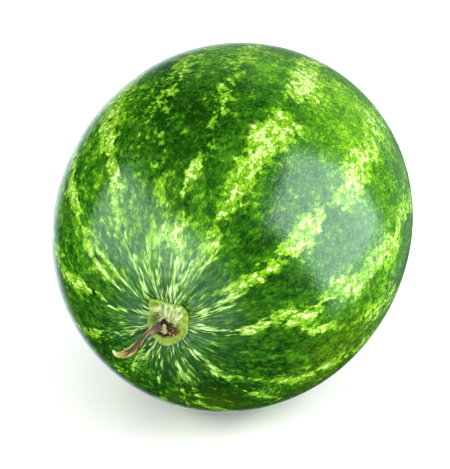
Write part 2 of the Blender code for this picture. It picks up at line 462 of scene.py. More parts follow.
SEAT_RADIUS = 0.0190          # flat seat under the pad
HOLLOW_RADIUS = 0.0360        # where the hollow round the seat ends
SEAT_DEPTH = 0.0030           # how far the seat sinks below the oval's end
LIP_HEIGHT = 0.0011           # the rind swells this much just outside the pad
LIP_DISTANCE = 0.0050         # from the pad's edge to the top of that swelling
LIP_WIDTH = 0.0045            # from its top to its foot
RIB_HEIGHT = 0.00030          # radial ribs round the pad
RIB_REACH = 0.030             # how far they run from the pad's edge
RIBS = ((11, 1.0, 0.0), (17, 0.7, 1.0), (29, 0.6, 2.3))     # number round, share, phase
UNEVENNESS = 0.0022           # random waves of the outline, as a share of the radius
BLOSSOM_DIMPLE_DEPTH = 0.0022
BLOSSOM_DIMPLE_RADIUS = 0.0110
RING_CROWDING = 0.12          # draws the rows of faces towards both ends

# Lobes of the pad's outline: (number round, share of the radius, bearing of a crest).
PAD_LOBES = ((2, 0.073, 80), (3, 0.054, 16), (4, 0.036, 40), (5, 0.046, -23))
PAD_CORNER = (128, 12, 0.12)  # a drawn-out corner: bearing, half width, share of the radius

# Broad swellings of the fruit: (degrees from the stalk end, bearing, spread, height).
SWELLINGS = (
    (60, 20, 26, 0.0006),
    (95, 105, 26, 0.0008),
    (58, -100, 24, 0.0006),
    (100, 40, 26, -0.0008),
    (78, 150, 26, -0.0006),
    (130, 0, 30, 0.0010),
    (120, 200, 30, -0.0008),
)

# Areas where the ground is smooth, with few light flecks, in the same four numbers.
CALM_AREAS = (
    (78, 34, 34, 1.00),
    (100, 70, 30, 0.80),
    (54, 14, 14, 0.60),
)

# Broad lighter and darker areas of the ground, in the same four numbers. They mix the rind's own
# tone with painted light: some lighter spots beside the pad are painted sheen, some towards the
# fruit's right side and top are painted light, and the darker spot low beside the pad is painted
# shade.
TONES_AND_PAINTED_LIGHT = (
    (28, 66, 12, 0.10),
    (29, 111, 13, 0.16),
    (76, 44, 34, 0.08),
    (86, 16, 18, 0.07),
    (68, -8, 15, 0.14),
    (57, -36, 11, 0.11),
    (46, 150, 14, 0.06),
    (46, 134, 9, 0.10),
    (68, 124, 15, 0.14),
    (84, 62, 15, 0.04),
    (94, 88, 15, 0.20),
    (106, 44, 24, 0.14),
    (20, -98, 14, 0.10),
    (26, -12, 14, -0.08),
    (26, -72, 15, -0.18),
    (64, 106, 16, -0.12),
    (14, 16, 9, 0.08),
    (34, 42, 14, -0.05),
    (68, 88, 14, -0.10),
)

# Spots of the rind: (degrees from the stalk end, bearing, reach in degrees).
GROUND_SPOT = (92, -90, 34)
BRONZE_SPOTS = ((60, -24, 24), (38, -78, 16))


def pad_edge(bearing):
    """Radius of the pad's outline: the mean radius times 1 plus cosine lobes and a corner."""
    corner_at, half_width, drawn_out = PAD_CORNER
    off = turn(bearing - math.radians(corner_at))
    stretch = 1.0 + drawn_out * np.exp(-(off / math.radians(half_width)) ** 2)
    for number_round, part, crest in PAD_LOBES:
        stretch = stretch + part * np.cos(number_round * (bearing - math.radians(crest)))
    return bpy.context.scene.melon_pad.radius * stretch


def fruit_grid(settings):
    """Angles t and bearing over the grid, and the oval's radius and reach along its axis.

    radius = width/2 * sin(t)^(1 - bluntness) * (1 + fullness * cos t), reach = length/2 * cos t.
    """
    even = np.linspace(0.0, math.pi, settings.rows + 1)[1:-1, None]
    t = even - RING_CROWDING * np.sin(2.0 * even)
    bearing = np.linspace(0.0, math.tau, settings.columns, endpoint=False)[None, :]
    radius = settings.width / 2 * np.sin(t) ** (1.0 - settings.bluntness)
    radius = radius * (1.0 + settings.stalk_fullness * np.cos(t))
    reach = settings.long_axis / 2 * np.cos(t)
    shape = (t.shape[0], bearing.shape[1])
    return tuple(np.broadcast_to(a, shape) for a in (t, bearing, radius, reach))


def away_from(t, bearing, from_stalk, at):
    """Distances in degrees from one place on the fruit, along it and round it."""
    return np.degrees(t) - from_stalk, turn_between(np.degrees(bearing), at) * np.sin(t)


def sum_of_spots(spots, t, bearing):
    """Sum of round spots, each height * exp(-(distance / spread)^2), with angles in degrees."""
    total = np.zeros(t.shape)
    for from_stalk, at, spread, height in spots:
        along, across = away_from(t, bearing, from_stalk, at)
        total += height * np.exp(-(along ** 2 + across ** 2) / spread ** 2)
    return total


def spot_field(t, bearing, from_stalk, at, spread):
    """1 in the middle of a round spot, falling smoothly to 0 at its spread in degrees."""
    return fade(np.hypot(*away_from(t, bearing, from_stalk, at)), 0.0, spread)


def fruit_points(settings, t, bearing, radius, reach):
    """Points of the rind: the oval, its swellings, the hollow for the pad and the dimple.

    Round the pad the reach is drawn to the seat, then lifted by a lip and by radial ribs
    that follow the pad's outline. Below the ground plane the surface is cut flat.
    """
    grow = 1.0 + sum_of_spots(SWELLINGS, t, bearing) / (settings.width / 2)
    grow = grow + UNEVENNESS * waves(3, 4, bearing, t) * np.sin(t) ** 2
    radius = radius * grow
    x = radius * np.cos(bearing)
    z = AXIS_HEIGHT + radius * np.sin(bearing)

    stalk_half = reach > 0.0
    seat = fade(radius, SEAT_RADIUS, HOLLOW_RADIUS) * stalk_half
    reach = reach * (1.0 - seat) + (settings.long_axis / 2 - SEAT_DEPTH) * seat
    from_pad = np.hypot(x - PAD_MIDDLE[0], z - PAD_MIDDLE[1])
    round_pad = np.arctan2(z - PAD_MIDDLE[1], x - PAD_MIDDLE[0])
    outside = from_pad - pad_edge(round_pad)
    lip = fade(np.abs(outside - LIP_DISTANCE), 0.0, LIP_WIDTH) * stalk_half
    ribs = sum(part * np.cos(number * round_pad + phase) for number, part, phase in RIBS)
    rib_reach = fade(outside, 0.0, RIB_REACH) * fade(-outside, 0.0, 0.002) * stalk_half
    reach = reach + LIP_HEIGHT * lip * (1.0 + 0.35 * ribs) + RIB_HEIGHT * ribs * rib_reach

    dimple = np.exp(-(radius / BLOSSOM_DIMPLE_RADIUS) ** 2) * ~stalk_half
    reach = reach + BLOSSOM_DIMPLE_DEPTH * dimple
    return np.stack([x, -reach, np.maximum(z, 0.0)], axis=-1)


def whole_stripes():
    """The stripes' rows, with rows added on the far half that waver at random."""
    random = np.random.default_rng(STRIPE_SEED)
    finished = []
    for rows in STRIPES:
        rows = list(rows)
        last, bearing, _, strength = rows[-1]
        fades_out = strength < 0.3
        for from_stalk in BLOSSOM_ROWS:
            bearing = bearing + random.uniform(-2.5, 2.5)
            width = random.uniform(4.0, 6.5)
            strength = random.uniform(0.45, 1.0)
            if from_stalk > last + 4 and not fades_out:
                rows.append((from_stalk, bearing, width, strength))
        finished.append(np.array(rows, float))
    return finished


def stripe_field(t, bearing, spread):
    """How striped each point is: for each stripe, strength * exp(-(turn / half width)^2.6).

    The stripes join as 1 - product of (1 - stripe). A spread above 1 gives their fringes.
    """
    from_stalk = np.degrees(t)
    around = np.degrees(bearing)
    clear = np.ones(t.shape)
    for rows in whole_stripes():
        middle = np.interp(from_stalk, rows[:, 0], rows[:, 1])
        width = np.interp(from_stalk, rows[:, 0], rows[:, 2]) * spread
        strength = np.interp(from_stalk, rows[:, 0], rows[:, 3], left=rows[0, 3])
        offset = turn_between(around, middle) / width
        clear *= 1.0 - np.clip(strength, 0.0, 1.0) * np.exp(-np.abs(offset) ** 2.6)
    return 1.0 - clear


def growth_field(t, bearing, radius, reach):
    """Coordinates in which flecks of the rind are round.

    The radius is kept above the waist radius, as (radius^4 + waist^4)^(1/4), so flecks narrow
    towards the axis. For each metre along the rind the three coordinates together move by
    1 / (1 + stretch * exp(-(radius / stretch reach)^2)), so flecks lengthen near the two ends.
    """
    line_radius = radius[:, 0]
    line_reach = reach[:, 0]
    girth = (line_radius ** 4 + WAIST_RADIUS ** 4) ** 0.25
    step = np.hypot(np.diff(line_radius), np.diff(line_reach))
    middle_radius = (line_radius[1:] + line_radius[:-1]) / 2
    stretch = np.where(line_reach[1:] > 0.0, STALK_STRETCH, BLOSSOM_STRETCH)
    wanted = step / (1.0 + stretch * np.exp(-(middle_radius / STRETCH_REACH) ** 2))
    side = np.diff(girth)
    advance = np.sqrt(np.maximum(wanted ** 2 - side ** 2, (LEAST_GROWTH * step) ** 2))
    along = np.concatenate([[0.0], np.cumsum(advance)])[:, None] + np.zeros(t.shape)
    girth = girth[:, None]
    return np.stack([girth * np.cos(bearing), girth * np.sin(bearing), along], axis=-1)


def rind_material(settings):
    """Waxy rind: flecks shaded from dark green veins to cream hearts by one brightness value.

    The ground's brightness adds up broad tones that are partly painted light, clouds, patches,
    flecks and dark veins between cells.
    Where the stripe, broken up by patches and flecks, passes a first level the rind turns
    lime, and where it passes a second level it turns to cream flecks.
    """
    paint = Paint("waxy_striped_rind", settings.roughness, specular=0.5)
    growth = paint.attribute("growth", "Vector")
    stripe, fringe, tone, lively = paint.attributes("stripe", "fringe", "tone", "lively")
    beside_stalk, ground_spot, bronze = paint.attributes("beside_stalk", "ground_spot", "bronze")
    cell = settings.cell

    wander = paint.noise(growth, cell * 0.7, 2.0, "Color")
    wander = paint.vector("SUBTRACT", wander, (0.5, 0.5, 0.5))
    wander = paint.vector("MULTIPLY", wander, (cell * 0.75,) * 3)
    wandering = paint.vector("ADD", growth, wander)

    clouds = paint.noise(growth, 0.040, 3.0) - 0.5
    patches = paint.noise(growth, 0.0100, 3.0) - 0.5
    fleck = paint.noise(wandering, cell * 1.05, 3.0) - 0.5
    grain = paint.noise(wandering, cell * 0.35, 2.0) - 0.5
    shade = paint.cell_shade(wandering, cell) - 0.5
    vein = paint.cell_edge(wandering, cell).step(0.02, 0.20)
    fine_shade = paint.cell_shade(wandering, cell * 0.72) - 0.5
    thread = paint.cell_edge(wandering, cell * 0.72).step(0.03, 0.20)
    streaks = (paint.noise(growth, cell * 0.70, 3.0) - 0.5) * beside_stalk

    edge = stripe * (1.0 - beside_stalk * 0.30) + patches * 1.2 + streaks * 2.8
    lime = (edge * 1.1 + fleck * 1.1 + shade * 0.30).step(0.36, 0.70)
    cream = (edge + fleck * 1.9 + fine_shade * 0.55).step(0.76, 1.02)

    # The broad tone added here is partly painted light: painted sheen beside the pad, painted
    # light on the right side and top, painted shade low beside the pad.
    ground = 0.25 + tone + clouds * 0.30 + patches * (0.30 + lively * 0.28) + grain * 0.36
    ground = ground + fleck * (0.30 + lively * 0.42) + (fleck * lively).step(0.08, 0.24) * 0.14
    ground = ground + shade * 0.10 + fringe * 0.13 + streaks * 1.8 - (1.0 - vein) * 0.12
    bright = ground + (0.62 + fleck * 0.5 - ground) * lime
    bright = bright + (0.94 + grain * 0.6 - bright) * cream
    bright = bright + lime * (beside_stalk * 0.05 + streaks * 1.8)
    bright = bright - (1.0 - thread) * (0.03 + lime * 0.14 + cream * 0.12)

    tint = paint.node("ValToRGB", {"stops": (
        (0.00, settings.shadow_green),
        (0.16, settings.dark_green),
        (0.36, settings.leaf_green),
        (0.50, settings.bright_green),
        (0.64, settings.lime),
        (0.80, settings.pale_lime),
        (0.97, settings.cream),
    )}, (bright,), "Color")
    # Beside the pad the tint is drawn to bluish green and pale colours: real streaks with a
    # painted sheen over them.
    tint = paint.mix(beside_stalk * (1.0 - lime) * 0.45, tint, settings.stalk_green)
    tint = paint.mix(beside_stalk * lime * 0.35, tint, settings.stalk_pale)
    tint = paint.mix(bronze * (1.0 - lime) * 0.35, tint, settings.bronze)
    straw = ground_spot + patches * 0.5 * ground_spot
    tint = paint.mix(straw.step(0.25, 0.70) * 0.9, tint, settings.straw)
    roughness = settings.roughness + grain * 0.12 + (1.0 - vein) * 0.05
    paint.set(base_color=tint, roughness=roughness)
    paint.relief(vein * 0.4 + grain * 0.6 + patches * 0.8, settings.bump)
    return paint.material


def build_rind(settings):
    t, bearing, radius, reach = fruit_grid(settings)
    mesh = tapered_tube("melon_rind", fruit_points(settings, t, bearing, radius, reach))
    bronze = sum(spot_field(t, bearing, *spot) for spot in BRONZE_SPOTS)
    add_fields(
        mesh,
        growth=growth_field(t, bearing, radius, reach),
        stripe=stripe_field(t, bearing, 1.0),
        fringe=stripe_field(t, bearing, FRINGE_SPREAD),
        # This tone field is partly painted light: painted sheen beside the pad, painted light on
        # the right side and top, painted shade low beside the pad.
        tone=sum_of_spots(TONES_AND_PAINTED_LIGHT, t, bearing),
        lively=1.0 - np.clip(sum_of_spots(CALM_AREAS, t, bearing), 0.0, 1.0),
        beside_stalk=fade(radius, *STALK_SIDE) * (reach > 0.0),
        ground_spot=spot_field(t, bearing, *GROUND_SPOT),
        bronze=np.clip(bronze, 0.0, 1.0),
    )
    add_piece("melon_rind", mesh, rind_material(settings), "melon")


# ---------------------------------------------------------------- the pad

# Places on the pad's face, right of its middle and above it, and half sizes.
SCAR_MIDDLE = (-0.0004, -0.0042)
SCAR_SIZE = (0.0082, 0.0070)
CORE_MIDDLE = (-0.0026, -0.0049)
CORE_SIZE = (0.0026, 0.0038)
CRUST_MIDDLE = (0.0040, -0.0080)
CRUST_SIZE = (0.0042, 0.0040)
FAN_MIDDLE = (0.0012, 0.0072)
FAN_SIZE = (0.0094, 0.0078)
# Darker olive patches on the pad's face. The largest, up and to the left, is painted shade of a
# dent that the face doesn't have, over olive tissue.
STAINS_AND_SHADE = (                    # right, up, radius, strength
    (-0.0072, 0.0036, 0.0036, 1.05),
    (-0.0100, -0.0004, 0.0026, 0.50),
    (0.0068, -0.0006, 0.0030, 0.65),
    (-0.0030, 0.0100, 0.0028, 0.40),
    (0.0010, 0.0030, 0.0024, 0.45),
    (0.0054, 0.0064, 0.0030, 0.35),
)
PAD_COLUMNS = 176
PAD_FIBRE_HEIGHT = 0.00007


def pad_rings(settings):
    """Rings from the middle of the back, over the rim, to the middle of the face.

    Each ring is the outline times a share of its radius, at a height above the seat. The face
    is dished, its rim raised, its fibres ridged towards the scar and the scar crumbled.
    """
    back = np.array([(0.05, 0.0), (0.50, 0.0), (0.90, 0.0), (0.970, 0.05)])
    side = np.array([(0.995, 0.18), (1.005, 0.40), (1.0, 0.62), (0.985, 0.80), (0.960, 0.93)])
    inner = np.linspace(0.940, 0.02, 66)
    face = np.stack([inner, np.ones_like(inner)], axis=1)
    profile = np.concatenate([back, side, face])
    share_out = profile[:, 0][:, None]
    bearing = np.linspace(0.0, math.tau, PAD_COLUMNS, endpoint=False)[None, :]
    radius = share_out * pad_edge(bearing)
    x = radius * np.cos(bearing)
    z = radius * np.sin(bearing)
    height = profile[:, 1][:, None] * PAD_THICKNESS + np.zeros_like(x)

    on_face = fade(share_out, 0.95, 1.0) * (profile[:, 1][:, None] > 0.9)
    lumpy = 0.6 + 0.4 * waves(5, 5, bearing)
    rim = settings.rim * np.exp(-((share_out - 0.93) / 0.04) ** 2) * on_face * lumpy
    dish = -settings.dish * fade(share_out, 0.15, 0.90) * on_face
    to_scar = np.arctan2(z - SCAR_MIDDLE[1], x - SCAR_MIDDLE[0])
    fibres = np.cos(46 * to_scar + 2.0 * np.sin(5 * to_scar)) * PAD_FIBRE_HEIGHT * on_face
    height = height + rim + dish + fibres + scar_relief(x, z) * on_face
    ragged = 1.0 + 0.009 * np.cos(23 * bearing) * waves(8, 3, bearing)
    ragged = ragged + 0.007 * np.cos(37 * bearing + 1.2)
    x = PAD_MIDDLE[0] + x * ragged
    z = PAD_MIDDLE[1] + z * ragged
    return np.stack([x, PAD_HIGH.y - height, z], axis=-1)


def oval(x, z, middle, size):
    """Distance from the middle as a share of the two half sizes, 1 on the oval's edge."""
    return np.hypot((x - middle[0]) / size[0], (z - middle[1]) / size[1])


def scar_share(x, z):
    """1 on the corky scar, 0 off it, with an uneven edge."""
    bearing = np.arctan2(z - SCAR_MIDDLE[1], x - SCAR_MIDDLE[0])
    edge = 1.0 + 0.14 * np.cos(3 * bearing + 0.6) + 0.09 * np.cos(7 * bearing)
    return fade(oval(x, z, SCAR_MIDDLE, SCAR_SIZE) / edge, 0.70, 1.10)


def core_share(x, z):
    """1 on the pale core where the stalk tore away, 0 off it."""
    bearing = np.arctan2(z - CORE_MIDDLE[1], x - CORE_MIDDLE[0])
    edge = 1.0 + 0.16 * np.cos(3 * bearing + 2.0) + 0.10 * np.cos(5 * bearing)
    return fade(oval(x, z, CORE_MIDDLE, CORE_SIZE) / edge, 0.65, 1.15)


def scar_relief(x, z):
    """Height of the scar: sunk, with a raised crumbling edge and a lump for its core."""
    scar = scar_share(x, z)
    crumbs = np.cos(2600 * x + 3 * np.cos(1900 * z)) * np.cos(2300 * z + 3 * np.cos(2100 * x))
    edge = 4.0 * scar * (1.0 - scar)
    return -0.0007 * scar + 0.0005 * edge + 0.0003 * crumbs * scar + 0.0012 * core_share(x, z)


def pad_material(settings):
    """Yellow-green tissue with a fan of pale fibres above a dark, crumbled, corky scar."""
    paint = Paint("pad_tissue", 0.7, specular=0.12)
    place = paint.attribute("pad_place", "Vector")
    rim, fan, scar, ring = paint.attributes("rim", "fan", "scar", "ring")
    core, stain, crust = paint.attributes("core", "stain", "crust")
    fine = paint.noise(place, 0.0013, 3.0) - 0.5
    blotch = paint.noise(place, 0.0045, 3.0) - 0.5
    fibre = paint.noise(paint.attribute("fibre", "Vector"), 0.0015, 3.0) - 0.5
    crumbs = paint.cell_shade(place, 0.0013)

    lines = (0.50 + fibre * 3.2 + blotch * 2.0 + fine).step(0.15, 0.80)
    pale = paint.mix(lines, settings.grey_green, settings.pale)
    tint = paint.mix((0.46 + fine * 3.6 + blotch * 2.6).step(0.1, 0.8), settings.deep,
                     settings.fresh)
    tint = paint.mix((fan + blotch * 1.2 + fibre * 1.6 + fine * 0.6).step(0.28, 0.62), tint, pale)
    tint = paint.mix((rim + fine * 2.2 + blotch).step(0.45, 0.95) * 0.6, tint, settings.rim_green)
    # Olive patches: stained tissue, and in the largest patch painted shade of a dent.
    stained_and_shaded = (stain + fine * 3.6 + blotch * 1.4).step(0.28, 0.90) * 0.92
    tint = paint.mix(stained_and_shaded, tint, settings.olive)
    cork = paint.mix((ring + fine * 1.8 - crust * 0.25).step(0.20, 0.72), settings.umber,
                     settings.bark)
    tan = (crumbs * 0.9 + crust * 0.38 + fine * 1.2).step(0.78, 1.02)
    cork = paint.mix(tan, cork, settings.tan)
    tint = paint.mix((scar + fine * 1.6 + blotch * 0.8).step(0.30, 0.68), tint, cork)
    tint = paint.mix((core + fine * 1.4).step(0.38, 0.68), tint, settings.core)
    paint.set(base_color=tint, roughness=0.60 + scar * 0.3 + fine * 0.2)
    paint.relief(fine * 0.9 + fibre * 0.8 + crumbs * scar, 0.0005)
    return paint.material


def build_pad(settings):
    rings = pad_rings(settings)
    mesh = tapered_tube("stalk_pad", rings)
    x = rings[..., 0] - PAD_MIDDLE[0]
    z = rings[..., 2] - PAD_MIDDLE[1]
    bearing = np.arctan2(z, x)
    share_out = np.hypot(x, z) / pad_edge(bearing)
    to_scar = np.arctan2(z - SCAR_MIDDLE[1], x - SCAR_MIDDLE[0])
    away = np.hypot(x - SCAR_MIDDLE[0], z - SCAR_MIDDLE[1])
    stain = sum(strength * np.exp(-oval(x, z, (right, up), (radius, radius)) ** 2)
                for right, up, radius, strength in STAINS_AND_SHADE)
    add_fields(
        mesh,
        pad_place=rings,
        fibre=np.stack([0.011 * np.cos(to_scar), 0.011 * np.sin(to_scar), away * 0.22], axis=-1),
        rim=1.0 - fade(share_out, 0.86, 1.0),
        fan=np.exp(-oval(x, z, FAN_MIDDLE, FAN_SIZE) ** 4),
        ring=np.exp(-((oval(x, z, CORE_MIDDLE, CORE_SIZE) - 1.45) / 0.65) ** 2),
        scar=scar_share(x, z),
        core=core_share(x, z),
        crust=np.exp(-oval(x, z, CRUST_MIDDLE, CRUST_SIZE) ** 2),
        stain=stain,
    )
    add_piece("stalk_pad", mesh, pad_material(settings), "stem_pad")


# ---------------------------------------------------------------- the stalk

# The stalk's middle line from the pad's middle, as (right, out, up, radius, flatness).
STALK_ROUTE = (
    (-0.0056, -0.0012, -0.0036, 0.0026, 0.85),
    (-0.0066, 0.0014, -0.0037, 0.0024, 0.85),
    (-0.0082, 0.0032, -0.0041, 0.0020, 0.90),
    (-0.0104, 0.0048, -0.0052, 0.0015, 0.95),
    (-0.0126, 0.0058, -0.0074, 0.0013, 0.95),
    (-0.0147, 0.0063, -0.0103, 0.0014, 0.90),
    (-0.0172, 0.0063, -0.0139, 0.0019, 0.75),
    (-0.0202, 0.0058, -0.0183, 0.0025, 0.60),
    (-0.0240, 0.0050, -0.0221, 0.0027, 0.55),
    (-0.0277, 0.0044, -0.0248, 0.0024, 0.55),
    (-0.0321, 0.0040, -0.0265, 0.0018, 0.60),
    (-0.0343, 0.0042, -0.0260, 0.0014, 0.60),
    (-0.0357, 0.0050, -0.0233, 0.0006, 0.60),
)
STALK_ROWS = 240
STALK_COLUMNS = 112
STALK_TWIST = 2.4             # turn of its ridges from foot to tip, in radians


def smooth_route(points, count):
    """Catmull-Rom line through the points, sampled evenly in its parameter."""
    points = np.array(points, float)
    before = 2 * points[:1] - points[1:2]
    after = 2 * points[-1:] - points[-2:-1]
    padded = np.concatenate([before, points, after])
    place = np.linspace(0.0, len(points) - 1.0001, count)
    index = place.astype(int)
    part = (place - index)[:, None]
    a, b, c, d = (padded[index + i] for i in range(4))
    return 0.5 * (2 * b + (c - a) * part + (2 * a - 5 * b + 4 * c - d) * part ** 2
                  + (3 * b - a - 3 * c + d) * part ** 3)


def carried_frames(line):
    """Unit directions along the line and two across it.

    The first across it is projected from a direction that turns from +Z at the foot to -Y at
    the tip, and the second is square to both.
    """
    ahead = np.gradient(line, axis=0)
    ahead /= np.linalg.norm(ahead, axis=1, keepdims=True)
    outward = np.array([0.0, -1.0, 0.0]) + 0.0 * ahead
    blend = np.linspace(0.0, 1.0, len(line))[:, None]
    outward = outward * blend + np.array([0.25, 0.0, 0.97]) * (1.0 - blend)
    side = outward - ahead * (outward * ahead).sum(axis=1, keepdims=True)
    side /= np.linalg.norm(side, axis=1, keepdims=True)
    return ahead, side, np.cross(ahead, side)


def stalk_section(along, around):
    """Shape of the stalk's cross-section: how far each side stands from the middle line.

    1 plus lengthwise ridges that twist with the way along, a deep trough between two lips
    along the outer half, fine wrinkles and a torn flake on the upper lip.
    """
    twist = around + STALK_TWIST * along
    ridges = 0.10 * np.cos(3 * twist) + 0.09 * np.cos(7 * twist + 1.3) + 0.06 * np.cos(12 * twist)
    husk = fade(-along, -0.52, -0.34) * fade(along, 0.86, 0.97)
    facing = turn(around - 0.35 + 0.5 * (along - 0.5))
    trough = -0.60 * husk * np.exp(-(facing / 0.62) ** 2)
    lips = 0.16 * husk * np.exp(-((np.abs(facing) - 1.05) / 0.26) ** 2)
    wrinkles = 0.05 * np.cos(70 * along + 3 * np.cos(2 * around)) * np.cos(4 * around)
    flake = 0.55 * np.exp(-((along - 0.735) / 0.013) ** 2 - (turn(around - 1.9) / 0.22) ** 2)
    return 1.0 + ridges + trough + lips + wrinkles * (0.4 + husk) + flake


def stalk_rings():
    """Rings round the smooth middle line: radius times section, flattened across the line."""
    route = smooth_route(STALK_ROUTE, STALK_ROWS)
    line = np.stack([PAD_MIDDLE[0] + route[:, 0], PAD_FACE_Y - route[:, 1],
                     PAD_MIDDLE[1] + route[:, 2]], axis=1)
    ahead, side, other = carried_frames(line)
    along = np.linspace(0.0, 1.0, STALK_ROWS)[:, None]
    around = np.linspace(0.0, math.tau, STALK_COLUMNS, endpoint=False)[None, :]
    section = stalk_section(along, around)
    foot = 1.0 + 0.25 * fade(along, 0.0, 0.10) * (0.5 + 0.5 * np.cos(7 * around))
    radius = np.maximum(route[:, 3][:, None], 0.0003) * section * foot
    across = (radius * np.cos(around))[..., None] * side[:, None, :] * route[:, 4][:, None, None]
    up = (radius * np.sin(around))[..., None] * other[:, None, :]
    return line[:, None, :] + across + up, along, around, section


def stalk_material(settings):
    """Dry fibrous stalk: plum foot, brick ridges, umber hollows, ochre end and cream tip. The
    hollows' dark umber is partly painted shade in the recesses.
    """
    paint = Paint("dry_stalk_fibre", 0.8, specular=0.3)
    along, ridge = paint.attributes("along", "ridge")
    fibre_at = paint.attribute("fibre", "Vector")
    fibre = paint.noise(fibre_at, 0.0036, 4.0) - 0.5
    fleck = paint.noise(fibre_at, 0.0070, 3.0) - 0.5
    blend = along + fleck * 0.20
    ridges = paint.node("ValToRGB", {"stops": (
        (0.02, settings.plum), (0.16, settings.plum), (0.24, settings.brick),
        (0.46, settings.brick), (0.62, settings.ochre), (0.88, settings.ochre),
        (0.95, settings.cream))}, (blend,), "Color")
    # The hollows' ramp is darker than the ridges' where the section sinks: partly painted shade in
    # the recesses.
    hollows = paint.node("ValToRGB", {"stops": (
        (0.05, settings.plum), (0.24, settings.plum), (0.34, settings.umber),
        (0.70, settings.umber), (0.82, settings.ochre), (0.94, settings.cream))},
        (blend,), "Color")
    high = (ridge + fibre * 4.6).step(0.38, 0.66)
    tint = paint.mix(high, hollows, ridges)
    pale = (fibre * 2.6 + fleck + ridge * 0.5).step(0.34, 0.72) * along.step(0.10, 0.40) * 0.75
    tint = paint.mix(pale, tint, settings.straw)
    moss = (fleck * 2.0 - fibre + 0.5).step(0.50, 0.85) * along.step(0.35, 0.60) * 0.6
    tint = paint.mix(moss, tint, settings.moss)
    paint.set(base_color=tint, roughness=0.65 + fibre * 0.4)
    paint.relief(fibre * 2.0 + fleck, 0.0010)
    return paint.material


def build_stalk(settings):
    rings, along, around, section = stalk_rings()
    mesh = tapered_tube("dried_stalk", rings)
    twist = around + STALK_TWIST * along
    add_fields(
        mesh,
        along=np.broadcast_to(along, rings.shape[:2]),
        ridge=np.clip(0.5 + 1.6 * (section - 1.0), 0.0, 1.0),
        fibre=np.stack([0.0035 * np.cos(twist), 0.0035 * np.sin(twist),
                        along * 0.010 + 0.0 * around], axis=-1),
    )
    add_piece("dried_stalk", mesh, stalk_material(settings), "stem")


# ---------------------------------------------------------------- the studio

FILL_DISTANCE = 1.6           # from the fruit's middle to the lights that only fill
SHEEN_DISTANCE = 1.4          # to the lights that are seen only as reflections
FILL_TINT = (1.0, 1.0, 1.0)
SHEEN_TINT = (0.78, 0.94, 1.0)
SKY_TINT = (0.80, 0.94, 1.0)
HORIZON_GREY = (0.82, 0.82, 0.82)
ZENITH_WHITE = (1.0, 1.0, 1.0)
FLOOR_GREYS = ((0.91, 0.91, 0.91), (0.94, 0.94, 0.94))
FLOOR_DROP = 0.0002           # keeps the floor clear of the fruit's flat spot
OVERHEAD_STRENGTH = 2.8
OVERHEAD_SPREAD = 120.0       # how wide the light from above is, in degrees
SKY_GLOW = 0.01               # dim even light from all round

# Large area lights: (name, azimuth, elevation, wide, tall, roll, radiance).
FILLS = (
    ("left_fill", -51, 22, 58, 36, 0, 5.0),
    ("right_fill", 97, 20, 56, 56, 0, 6.5),
    ("front_fill", 0, 4, 44, 46, 0, 1.3),
)
SHEENS = (
    ("left_sheen", -60, 21, 46, 43, 8, 3.0),
    ("middle_sheen", -13, 23, 37, 26, -17, 3.8),
    ("low_sheen", -10, -10, 74, 52, 6, 1.0),
    ("right_sheen", 94, 20, 51, 66, 20, 5.6),
    ("right_low_sheen", 110, -17, 40, 16, 25, 2.2),
)

# Soft glows of the surroundings: (azimuth, elevation, spread, level).
WORLD_GLOWS = (
    (-152, -24, 26, 1.5),
    (160, -20, 26, 0.25),
    (178, 16, 46, 0.20),
)


def direction(azimuth, elevation):
    """Unit vector towards that bearing, 0 towards -Y and 90 degrees towards +X."""
    flat = math.cos(elevation)
    return Vector((math.sin(azimuth) * flat, -math.cos(azimuth) * flat, math.sin(elevation)))


def fruit_middle():
    return Vector((0.0, 0.0, AXIS_HEIGHT))


def add_camera(settings):
    """Looks at the fruit's middle, moved a little sideways and up in the camera's own plane."""
    towards = direction(settings.azimuth, settings.elevation)
    right = Vector((math.cos(settings.azimuth), math.sin(settings.azimuth), 0.0))
    up = towards.cross(right)
    camera = bpy.data.objects.new("camera", bpy.data.cameras.new("camera"))
    camera.data.lens = settings.lens
    camera.data.sensor_width = 36.0
    camera.data.clip_end = 50.0
    camera.location = fruit_middle() + towards * settings.distance
    aim = fruit_middle() + right * settings.aim_right + up * settings.aim_up
    camera.rotation_euler = (aim - camera.location).to_track_quat("-Z", "Y").to_euler()
    bpy.context.scene.collection.objects.link(camera)
    bpy.context.scene.camera = camera


def add_softbox(name, azimuth, elevation, wide, tall, roll, radiance, shines):
    """A large area light that faces the fruit and that the camera doesn't see.

    It spans the two angles wide and tall, in degrees, as seen from the fruit, and is turned
    by the roll angle about its own middle. Its power is radiance * pi * area. One that shines
    is seen only as a reflection, the others only fill.
    """
    distance = SHEEN_DISTANCE if shines else FILL_DISTANCE
    data = bpy.data.lights.new(name, "AREA")
    data.shape = "RECTANGLE"
    data.size = 2.0 * distance * math.tan(math.radians(wide / 2))
    data.size_y = 2.0 * distance * math.tan(math.radians(tall / 2))
    data.energy = radiance * math.pi * data.size * data.size_y
    towards = direction(math.radians(azimuth), math.radians(elevation))
    facing = (-towards).to_track_quat("-Z", "Y")
    turned = facing @ Quaternion((0.0, 0.0, 1.0), math.radians(roll))
    place_lamp(name, data, fruit_middle() + towards * distance, turned.to_euler(), shines)


def add_overhead_fill():
    """Even light from above, as wide as a cloudy sky, that isn't seen as a reflection."""
    data = bpy.data.lights.new("overhead_fill", "SUN")
    data.energy = OVERHEAD_STRENGTH
    data.angle = math.radians(OVERHEAD_SPREAD)
    place_lamp("overhead_fill", data, Vector((0.0, 0.0, 2.0)), (0.0, 0.0, 0.0), False)


def place_lamp(name, data, place, turned, shines):
    data.color = SHEEN_TINT if shines else FILL_TINT
    lamp = bpy.data.objects.new(name, data)
    lamp.location = place
    lamp.rotation_euler = turned
    lamp.visible_camera = False
    lamp.visible_glossy = shines
    lamp.visible_diffuse = not shines
    bpy.context.scene.collection.objects.link(lamp)


